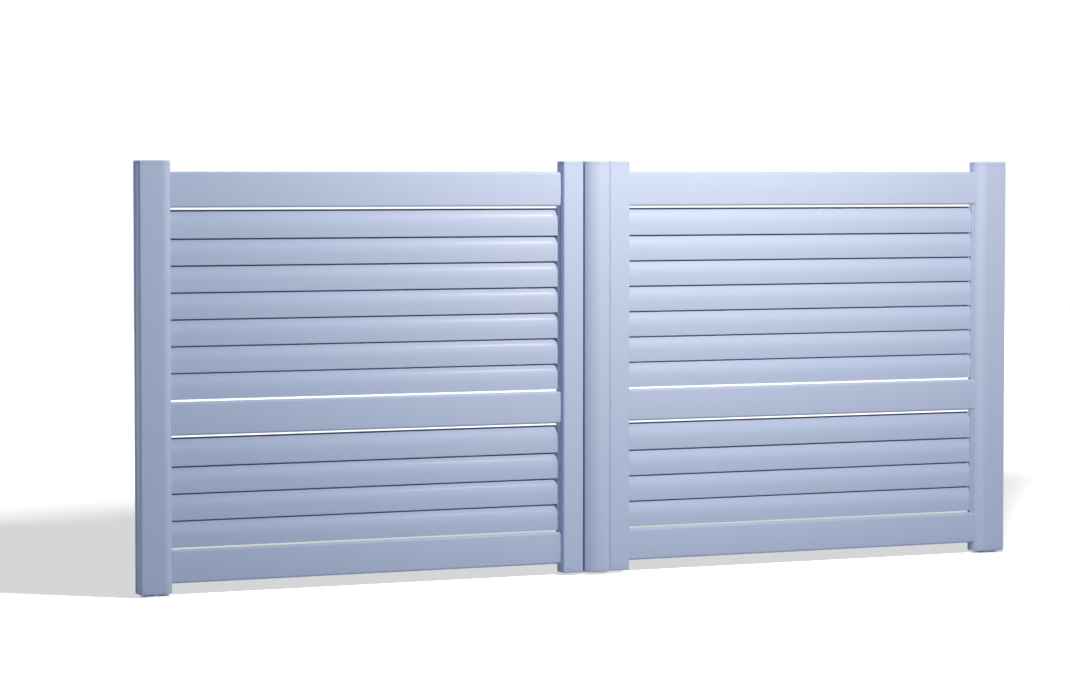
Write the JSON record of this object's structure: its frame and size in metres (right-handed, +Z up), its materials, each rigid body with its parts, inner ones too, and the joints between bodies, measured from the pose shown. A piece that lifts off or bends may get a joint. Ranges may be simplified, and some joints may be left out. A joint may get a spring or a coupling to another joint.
{
  "type": "double-leaf aluminium swing gate",
  "caption": "Double-leaf swing gate of powder-coated aluminium with overlapping curved slats between hollow stiles and rails; both leaves turn on floor pivots.",
  "frame": {"origin": "underside of the left floor plate, on the left leaf's pivot axis", "axes": "+X along the closed gate to the right as seen from the front, +Y to the back, where both leaves open to, +Z up"},
  "size_m": [3.5, 0.091, 1.51],
  "materials": {
    "stiles": "satin powder coat",
    "rails": "satin powder coat",
    "slats": "satin powder coat",
    "end_caps": "satin powder coat",
    "slat_plugs": "satin powder coat",
    "pivot_steel": "brushed"
  },
  "bodies": {
    "floor_pivots": {"left_floor_pivot": "pivot_steel", "right_floor_pivot": "pivot_steel"},
    "left_leaf": {"left_outer_stile": "stiles", "left_outer_top_cap": "end_caps", "left_outer_foot_cap": "end_caps", "left_meeting_stile": "stiles", "left_meeting_caps": "end_caps", "left_bottom_rail": "rails", "left_middle_rail": "rails", "left_top_rail": "rails", "left_slat_01": "slats", "left_slat_02": "slats", "left_slat_03": "slats", "left_slat_04": "slats", "left_slat_05": "slats", "left_slat_06": "slats", "left_slat_07": "slats", "left_slat_08": "slats", "left_slat_09": "slats", "left_slat_10": "slats", "left_slat_11": "slats", "left_slat_plugs": "slat_plugs"},
    "right_leaf": {"right_outer_stile": "stiles", "right_outer_top_cap": "end_caps", "right_outer_foot_cap": "end_caps", "right_meeting_stile": "stiles", "right_meeting_caps": "end_caps", "right_bottom_rail": "rails", "right_middle_rail": "rails", "right_top_rail": "rails", "right_slat_01": "slats", "right_slat_02": "slats", "right_slat_03": "slats", "right_slat_04": "slats", "right_slat_05": "slats", "right_slat_06": "slats", "right_slat_07": "slats", "right_slat_08": "slats", "right_slat_09": "slats", "right_slat_10": "slats", "right_slat_11": "slats", "right_slat_plugs": "slat_plugs", "cover_profile": "stiles", "cover_caps": "end_caps"}
  },
  "joints": [
    {"name": "left_leaf_hinge", "type": "hinge", "parent": "floor_pivots", "child": "left_leaf", "pos_m": [0, 0, 0.01], "axis": [0, 0, 1], "range_deg": [0, 90]},
    {"name": "right_leaf_hinge", "type": "hinge", "parent": "floor_pivots", "child": "right_leaf", "pos_m": [3.376, 0, 0.01], "axis": [0, 0, -1], "range_deg": [0, 90]}
  ]
}
